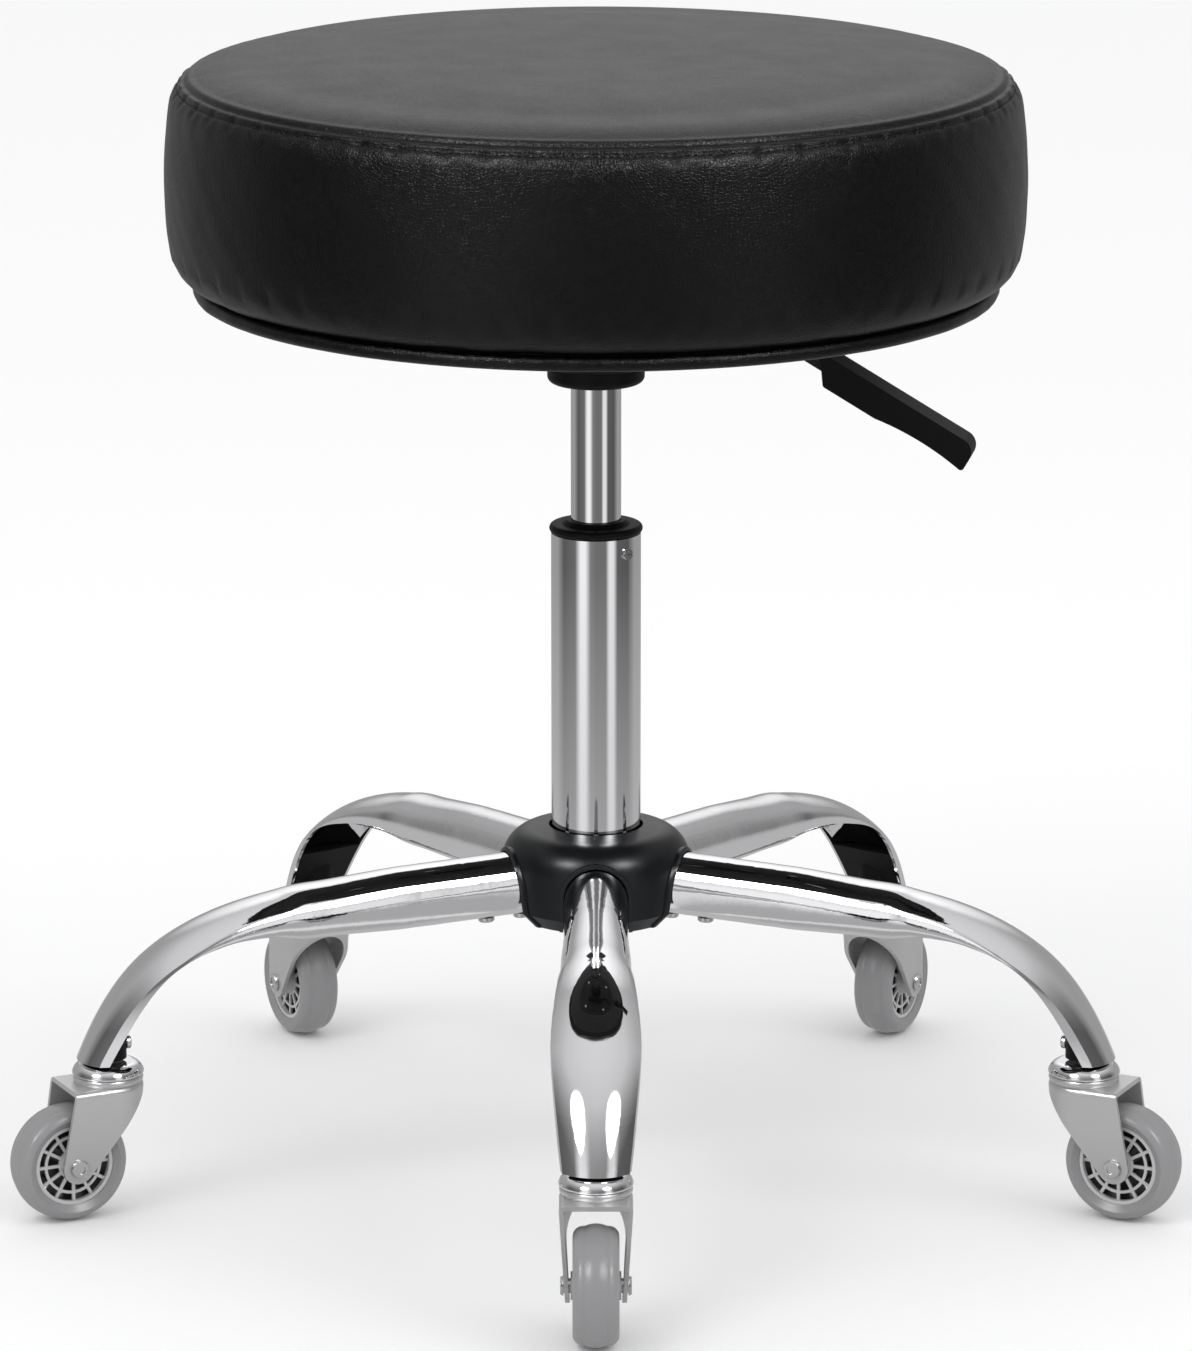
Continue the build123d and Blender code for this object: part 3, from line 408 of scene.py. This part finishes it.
def swell(grid, held):
    """A closed cushion grid blown up by Cloth pressure, its two held rows pinned and each move capped.

    The band between the held rows has a little spare cloth, so it fills out. The top is taut. Foam fills the
    cushion, so no point sinks below where it starts, and it irons short folds out of the top.
    """
    points, quads, triangles = capped(grid)
    work = mesh_object("cushion_sim", points, quads, triangles)
    pinned = work.vertex_groups.new(name="held")
    columns = grid.shape[1]
    still = [row * columns + column for row in held for column in range(columns)]
    pinned.add(still + [len(points) - 2], 1.0, "REPLACE")
    cloth = work.modifiers.new("cloth", "CLOTH")
    taut = work.vertex_groups.new(name="taut")
    taut.add(list(range(held[1] * columns, len(points))), 1.0, "REPLACE")
    settings = cloth.settings
    settings.quality = 6
    settings.mass = 0.3
    settings.tension_stiffness = 15
    settings.compression_stiffness = 15
    settings.shear_stiffness = 8
    settings.bending_stiffness = 8.0
    settings.use_pressure = True
    settings.uniform_pressure_force = 4
    settings.vertex_group_shrink = "taut"
    settings.shrink_min = -BAND_FULLNESS
    settings.shrink_max = 0.0
    settings.vertex_group_mass = "held"
    settings.effector_weights.gravity = 0
    cloth.point_cache.frame_start = 1
    cloth.point_cache.frame_end = CLOTH_FRAMES
    for step in range(1, CLOTH_FRAMES + 1):
        bpy.context.scene.frame_set(step)
    seen = work.evaluated_get(bpy.context.evaluated_depsgraph_get())
    moved = np.zeros(len(points) * 3, np.float32)
    seen.data.vertices.foreach_get("co", moved)
    moved = moved.reshape(-1, 3)[: grid.size // 3].reshape(grid.shape).astype(float) / MM
    bpy.data.objects.remove(work)
    bpy.context.scene.frame_set(1)
    move = moved - grid
    out = normals(grid)
    sunk = np.minimum((move * out).sum(axis=-1, keepdims=True), 0.0)
    move = move - sunk * out
    waves_round = np.fft.rfft(move[held[1] :], axis=1)
    waves_round[:, TOP_WAVES:] = 0
    move[held[1] :] = np.fft.irfft(waves_round, n=columns, axis=1)
    size = np.linalg.norm(move, axis=-1, keepdims=True)
    return grid + move * SWELL_LIMIT * np.tanh(size / SWELL_LIMIT) / np.maximum(size, 1e-9)


def hump(distance, height, centre, width):
    """A bell of the given height round centre: e to the minus square of the distance over the width."""
    return height * np.exp(-(((distance - centre) / width) ** 2))


def cushion_grid():
    """The sewn cushion: side band and top panel swell between seam and foot, then the seam draws in.

    The outline is five arcs. It starts slack, is swollen by Cloth, read again on a finer grid, and moved
    along its normals by a seam valley, a rolled edge on each side of it, a stitched groove and puckers.
    """
    side, side_length = even(
        np.concatenate(
            [
                arc(FOOT, LOW_VIA, LOW_END, 20),
                arc(LOW_END, SIDE_VIA, HIGH_END, 40),
                arc(HIGH_END, HIGH_VIA, SEAM, 20),
                [SEAM],
            ]
        ),
        SIDE_ROWS,
    )
    top, top_length = even(
        np.concatenate([arc(SEAM, ROLL_VIA, ROLL_END, 20), arc(ROLL_END, CROWN_VIA, CROWN, 60), [CROWN]]),
        TOP_ROWS,
    )
    top = top[:-1]
    profile = np.concatenate([side, top[1:]])
    grid = revolve(profile, COLUMNS)
    side_slack = np.sin(np.linspace(0, np.pi, len(side))) ** 0.5
    top_slack = np.sin(np.linspace(0, np.pi / 2, len(top))[1:]) ** 2
    angle = np.arange(COLUMNS) * TURN / COLUMNS
    band_wander = waves(angle[None, :] + 0.004 * side[:, 1, None], [17, 23, 31, 44, 59], 5)
    top_wander = ripple(grid[len(side) :, :, 0], grid[len(side) :, :, 1], [70, 95, 130, 160, 210], 6)
    wander = np.concatenate([band_wander, top_wander])
    slack = np.concatenate([side_slack, top_slack])[:, None] * (SLACK + 0.2 * wander)
    start = grid - normals(grid) * slack[..., None]
    grid = swell(start, [0, len(side) - 1])
    near_seam = np.linspace(0.0, NEAR_SEAM, 15)
    top_end = top_length * (TOP_ROWS - 2) / (TOP_ROWS - 1)
    below = np.concatenate([np.linspace(0.0, side_length - NEAR_SEAM, 26)[:-1], side_length - near_seam[::-1]])
    above = np.concatenate([near_seam, np.linspace(NEAR_SEAM, top_end, 46)[1:]])
    side_rows = cubic(grid[:SIDE_ROWS], below / side_length * (SIDE_ROWS - 1))
    top_rows = cubic(grid[SIDE_ROWS - 1 :], above / top_length * (TOP_ROWS - 1))
    fine = cubic_round(np.concatenate([side_rows, top_rows[1:]]), 2)
    drop = np.concatenate([side_length - below, np.full(len(above) - 1, 1e3)])[:, None]
    rise = np.concatenate([np.full(len(below) - 1, 1e3), above])[:, None]
    angle = np.arange(fine.shape[1])[None, :] * TURN / fine.shape[1]
    from_foot = side_length - drop
    move = hump(np.minimum(drop, rise), *SEAM_VALLEY) + hump(drop, *BAND_EDGE) + hump(rise, *TOP_EDGE)
    move = move + hump(drop, *STITCH_GROOVE) * (0.75 + 0.25 * np.cos(STITCH_COUNT * angle))
    move = move + hump(drop, *BAND_PUCKER) * waves(angle, [61, 83, 97, 118, 139], 11)
    move = move + hump(rise, *TOP_PUCKER) * waves(angle, [47, 71, 90, 113], 12)
    move = move + hump(from_foot, *FOOT_PUCKER) * waves(angle, [19, 26, 33, 41], 13)
    fine = fine + normals(fine) * move[..., None]
    stitch_row = int(np.argmin(np.abs(drop[:, 0] - STITCH_DROP)))
    return fine, stitch_row


def make_cushion(material):
    """The cushion as one closed mesh, flat underneath where it rests on the board."""
    grid, stitch_row = cushion_grid()
    made = mesh_object("seat_cushion", *capped(grid), material)
    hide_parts("seat_top_panel", "seat_side_band", "seat_foam")
    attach(made, "seat")
    return grid, stitch_row


def make_stitches(grid, stitch_row, material):
    """The topstitch under the seam: one short round-ended thread a stitch, in the band's stitched groove."""
    step = grid.shape[1] // STITCH_COUNT
    middle = grid[stitch_row, ::step]
    out = normals(grid)[stitch_row, ::step]
    along = np.roll(middle, -1, axis=0) - np.roll(middle, 1, axis=0)
    along = along / np.linalg.norm(along, axis=-1, keepdims=True)
    across = np.cross(out, along)
    reach = np.array([-0.5, -0.42, -0.2, 0.2, 0.42, 0.5]) * STITCH_LENGTH
    thick = np.array([0.25, 0.8, 1.0, 1.0, 0.8, 0.25]) * THREAD_RADIUS
    arch = 0.12 - 0.4 * (2 * reach / STITCH_LENGTH) ** 4
    turn = np.arange(6) * TURN / 6
    centre = (middle + 0.25 * out)[:, None, :] + reach[None, :, None] * along[:, None, :]
    centre = centre + arch[None, :, None] * out[:, None, :]
    up, beside = out[:, None, None, :], across[:, None, None, :]
    circle = np.cos(turn)[:, None] * up + np.sin(turn)[:, None] * beside
    points = centre[:, :, None, :] + thick[None, :, None, None] * circle
    caps = [[5, 4, 3, 2], [5, 2, 1, 0], [30, 31, 32, 33], [30, 33, 34, 35]]
    one = np.concatenate([grid_faces(6, 6), caps])
    faces = (one[None] + 36 * np.arange(len(middle))[:, None, None]).reshape(-1, 4)
    made = mesh_object("seat_topstitch", points, faces, (), material)
    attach(made, "seat")


def make_lip(material):
    """The vinyl lip round the board: a closed section turned round Z, its bulge and fold gently pleated."""
    belly = (LIP_INNER + LIP_BULGE, LIP_LOW + LIP_BELLY)
    outer = arc((LIP_INNER, LIP_LOW), belly, (LIP_INNER + SKIN, LIP_TOP), 14)
    fold = np.column_stack([np.linspace(LIP_INNER - LIP_FOLD, LIP_INNER, 9)[:-1], np.full(8, LIP_LOW)])
    inner = [
        (LIP_INNER + SKIN, LIP_TOP),
        (LIP_INNER + 0.2, LIP_TOP),
        (LIP_INNER + 0.1, CLOTH_TOP),
        (LIP_INNER - LIP_FOLD, CLOTH_TOP - 0.05),
    ]
    section = np.concatenate([fold, outer, inner])
    grid = revolve(section, 480)
    angle = np.arange(480)[None, :] * TURN / 480
    bulge = np.concatenate([np.zeros(8), np.sin(np.linspace(0, np.pi, 14)), np.zeros(4)])[:, None]
    flat = np.concatenate([np.sin(np.linspace(0.2, np.pi / 2, 8)), np.zeros(18)])[:, None]
    push = 0.45 * bulge * waves(angle, [19, 27, 41, 66], 21)
    grid[..., 0] += push * np.cos(angle)
    grid[..., 1] += push * np.sin(angle)
    grid[..., 2] += 0.35 * flat * (waves(angle, [58, 73, 96, 120], 22) - 0.2)
    made = mesh_object("board_lip", grid, grid_faces(len(section), 480, loop=True), (), material)
    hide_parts("board_wrap")
    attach(made, "seat")


def make_cloth(material):
    """The dust cloth stapled under the board: a thin ring, its lower face slack by tenths of a mm."""
    across = np.linspace(CLOTH_INNER, CLOTH_OUTER, 15)
    section = np.concatenate(
        [
            np.column_stack([across, np.full(15, CLOTH_LOW)]),
            np.column_stack([across[::-1], np.full(15, CLOTH_TOP - 0.1)]),
        ]
    )
    grid = revolve(section, 300)
    angle = np.arange(300)[None, :] * TURN / 300
    slack = np.concatenate([np.sin(np.linspace(0, np.pi, 15)), np.zeros(15)])[:, None]
    grid[..., 2] -= slack * (0.5 + 0.5 * waves(angle + 0.01 * section[:, 0, None], [9, 14, 22, 35], 31))
    made = mesh_object("dust_cloth_sheet", grid, grid_faces(30, 300, loop=True), (), material)
    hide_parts("underside_cloth")
    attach(made, "seat")


def ring_light(tree, direction):
    """What the chrome sees round the horizon: a dim room, two soft strips by the camera, a pale wall behind."""
    turn = add(tree, "ShaderNodeTexGradient", links={"Vector": direction}, gradient_type="RADIAL")
    return ramp(
        tree,
        turn.outputs["Fac"],
        [
            (0.0, "#5c5c5c"),
            (0.1, "#707070"),
            (0.14, "#ffffff"),
            (0.175, "#ffffff"),
            (0.21, "#848484"),
            (0.25, "#747474"),
            (0.32, "#747474"),
            (0.345, "#f0f0f0"),
            (0.375, "#f0f0f0"),
            (0.405, "#606060"),
            (0.5, "#585858"),
            (0.57, "#a0a0a0"),
            (0.93, "#a0a0a0"),
            (1.0, "#5c5c5c"),
        ],
    )


def glow(tree, direction, centre, edge, power, room=0.0):
    """A soft round light box: the room's level past the edge cosine, and power more at its centre."""
    near = add(
        tree, "ShaderNodeVectorMath", {1: centre}, {0: direction}, operation="DOT_PRODUCT"
    ).outputs["Value"]
    return add(
        tree,
        "ShaderNodeMapRange",
        {"From Min": edge, "From Max": 1.0, "To Min": room, "To Max": room + power},
        {"Value": near},
        interpolation_type="SMOOTHSTEP",
    ).outputs["Result"]


def choose(tree, when, other, shader):
    """One shader where the ray is of the asked kind, the other elsewhere."""
    return add(tree, "ShaderNodeMixShader", {}, {0: when, 1: other.outputs[0], 2: shader.outputs[0]})


def make_world():
    """White to the camera, plain soft light on the stool, and a studio with light boxes for reflections."""
    world = bpy.data.worlds.new("studio")
    bpy.context.scene.world = world
    world.use_nodes = True
    tree = world.node_tree
    tree.nodes.clear()
    direction = add(tree, "ShaderNodeTexCoord").outputs["Generated"]
    height = add(tree, "ShaderNodeSeparateXYZ", links={"Vector": direction}).outputs["Z"]
    ceiling = ramp(tree, height, [(0.0, "#a0a0a0"), (0.5, "#b4b4b4"), (1.0, "#e0e0e0")])
    blend = ramp(tree, height, [(0.3, "#000000"), (0.8, "#ffffff")])
    seen = add(tree, "ShaderNodeMix", {}, {"Factor": blend}, data_type="RGBA")
    tree.links.new(ring_light(tree, direction), seen.inputs["A"])
    tree.links.new(ceiling, seen.inputs["B"])
    strength = glow(tree, direction, (-0.51, -0.55, 0.66), 0.972, 36.0, room=1.0)
    for box in [((0.49, -0.57, 0.66), 0.972, 33.0), ((0.0, 0.87, 0.49), 0.88, 1.8)]:
        more = glow(tree, direction, *box)
        strength = add(tree, "ShaderNodeMath", {}, {0: strength, 1: more}).outputs["Value"]
    path = add(tree, "ShaderNodeLightPath").outputs
    soft = add(tree, "ShaderNodeBackground", {"Color": linear("#fbfbfc"), "Strength": 1.0})
    mirror = add(
        tree, "ShaderNodeBackground", {}, {"Color": seen.outputs["Result"], "Strength": strength}
    )
    white = add(tree, "ShaderNodeBackground", {"Color": linear("#ffffff"), "Strength": 1.0})
    lit = choose(tree, path["Is Glossy Ray"], soft, mirror)
    last = choose(tree, path["Is Camera Ray"], lit, white)
    add(tree, "ShaderNodeOutputWorld", {}, {"Surface": last.outputs[0]})


def make_floor():
    """A plain pale floor. In reflections it glows with a painted copy of the light of the room round the stool, a
    paler even grey near the stool.
    """
    size = 9.0
    corners = [(-size, -size, 0), (size, -size, 0), (size, size, 0), (-size, size, 0)]
    mesh = bpy.data.meshes.new("floor")
    mesh.from_pydata(corners, [], [(0, 1, 2, 3)])
    floor = bpy.data.objects.new("floor", mesh)
    bpy.context.scene.collection.objects.link(floor)
    made = bpy.data.materials.new("pale_floor")
    made.use_nodes = True
    tree = made.node_tree
    tree.nodes.clear()
    matt = add(tree, "ShaderNodeBsdfDiffuse", {"Color": linear("#fafafa")})
    where = place_of(tree)
    # Painted light: within 0.6 m of the middle, the floor's glow in reflections is mixed 60 % toward a pale grey,
    # fading out by 1.5 m.
    away = add(tree, "ShaderNodeVectorMath", {}, {0: where}, operation="LENGTH").outputs["Value"]
    near = add(
        tree, "ShaderNodeMapRange", {"From Min": 1.5, "From Max": 0.6, "To Max": 0.6}, {"Value": away}
    ).outputs["Result"]
    lit = add(tree, "ShaderNodeMix", {"B": linear("#cccccc")}, {"Factor": near}, data_type="RGBA")
    tree.links.new(ring_light(tree, where), lit.inputs["A"])
    # Painted light: to glossy rays the floor is an emission of the room's pattern rather than a lit surface, so
    # the chrome sees a lit floor.
    room = add(tree, "ShaderNodeEmission", {"Strength": 1.0}, {"Color": lit.outputs["Result"]})
    path = add(tree, "ShaderNodeLightPath").outputs
    both = choose(tree, path["Is Glossy Ray"], matt, room)
    add(tree, "ShaderNodeOutputMaterial", {}, {"Surface": both.outputs[0]})
    mesh.materials.append(made)


def make_lamp(name, place, size, power, aim=(0.0, 0.0, 0.35)):
    """A square soft box aimed at the stool, kept out of the chrome, which has the world's light boxes."""
    data = bpy.data.lights.new(name, "AREA")
    data.size = size
    data.energy = power
    lamp = bpy.data.objects.new(name, data)
    bpy.context.scene.collection.objects.link(lamp)
    away = np.array(place) - np.array(aim)
    flat = float(np.hypot(away[0], away[1]))
    lamp.location = place
    lamp.rotation_euler = (float(np.arctan2(flat, away[2])), 0.0, float(np.arctan2(away[0], -away[1])))
    lamp.visible_glossy = False


def make_camera():
    """The photograph's view: a long lens in front, fourteen degrees above the stool's middle."""
    data = bpy.data.cameras.new("camera")
    data.sensor_fit = "VERTICAL"
    data.sensor_height = 36.0
    data.lens = 186.76
    camera = bpy.data.objects.new("camera", data)
    bpy.context.scene.collection.objects.link(camera)
    camera.location = (0.0, -3.7942, 1.2454)
    camera.rotation_euler = (np.radians(75.79), 0.0, 0.0)
    bpy.context.scene.camera = camera


materials = make_materials()
for part in frame["record"]["subparts"]:
    node = frame["nodes"][part["node"]]
    node.data.materials.clear()
    node.data.materials.append(materials[part["material_slot"]])
# Each wheel core gets its own material, with painted shade in its windows, set along its axle.
for joint in frame["joints"]:
    if joint["name"].startswith("wheel_spin"):
        core = frame["nodes"]["wheel_core" + joint["name"][-2:]]
        core.data.materials[0] = make_core(joint)

seat_grid, seat_stitch_row = make_cushion(materials["black_vinyl"])
make_stitches(seat_grid, seat_stitch_row, make_thread())
make_lip(materials["black_vinyl"])
make_cloth(materials["dust_cloth"])

make_world()
make_floor()
make_lamp("key", (-1.6, -1.6, 2.6), 1.4, 16.0)
make_lamp("fill", (1.9, -1.0, 2.0), 1.4, 8.0)
make_camera()
bpy.context.scene.view_settings.view_transform = "Standard"
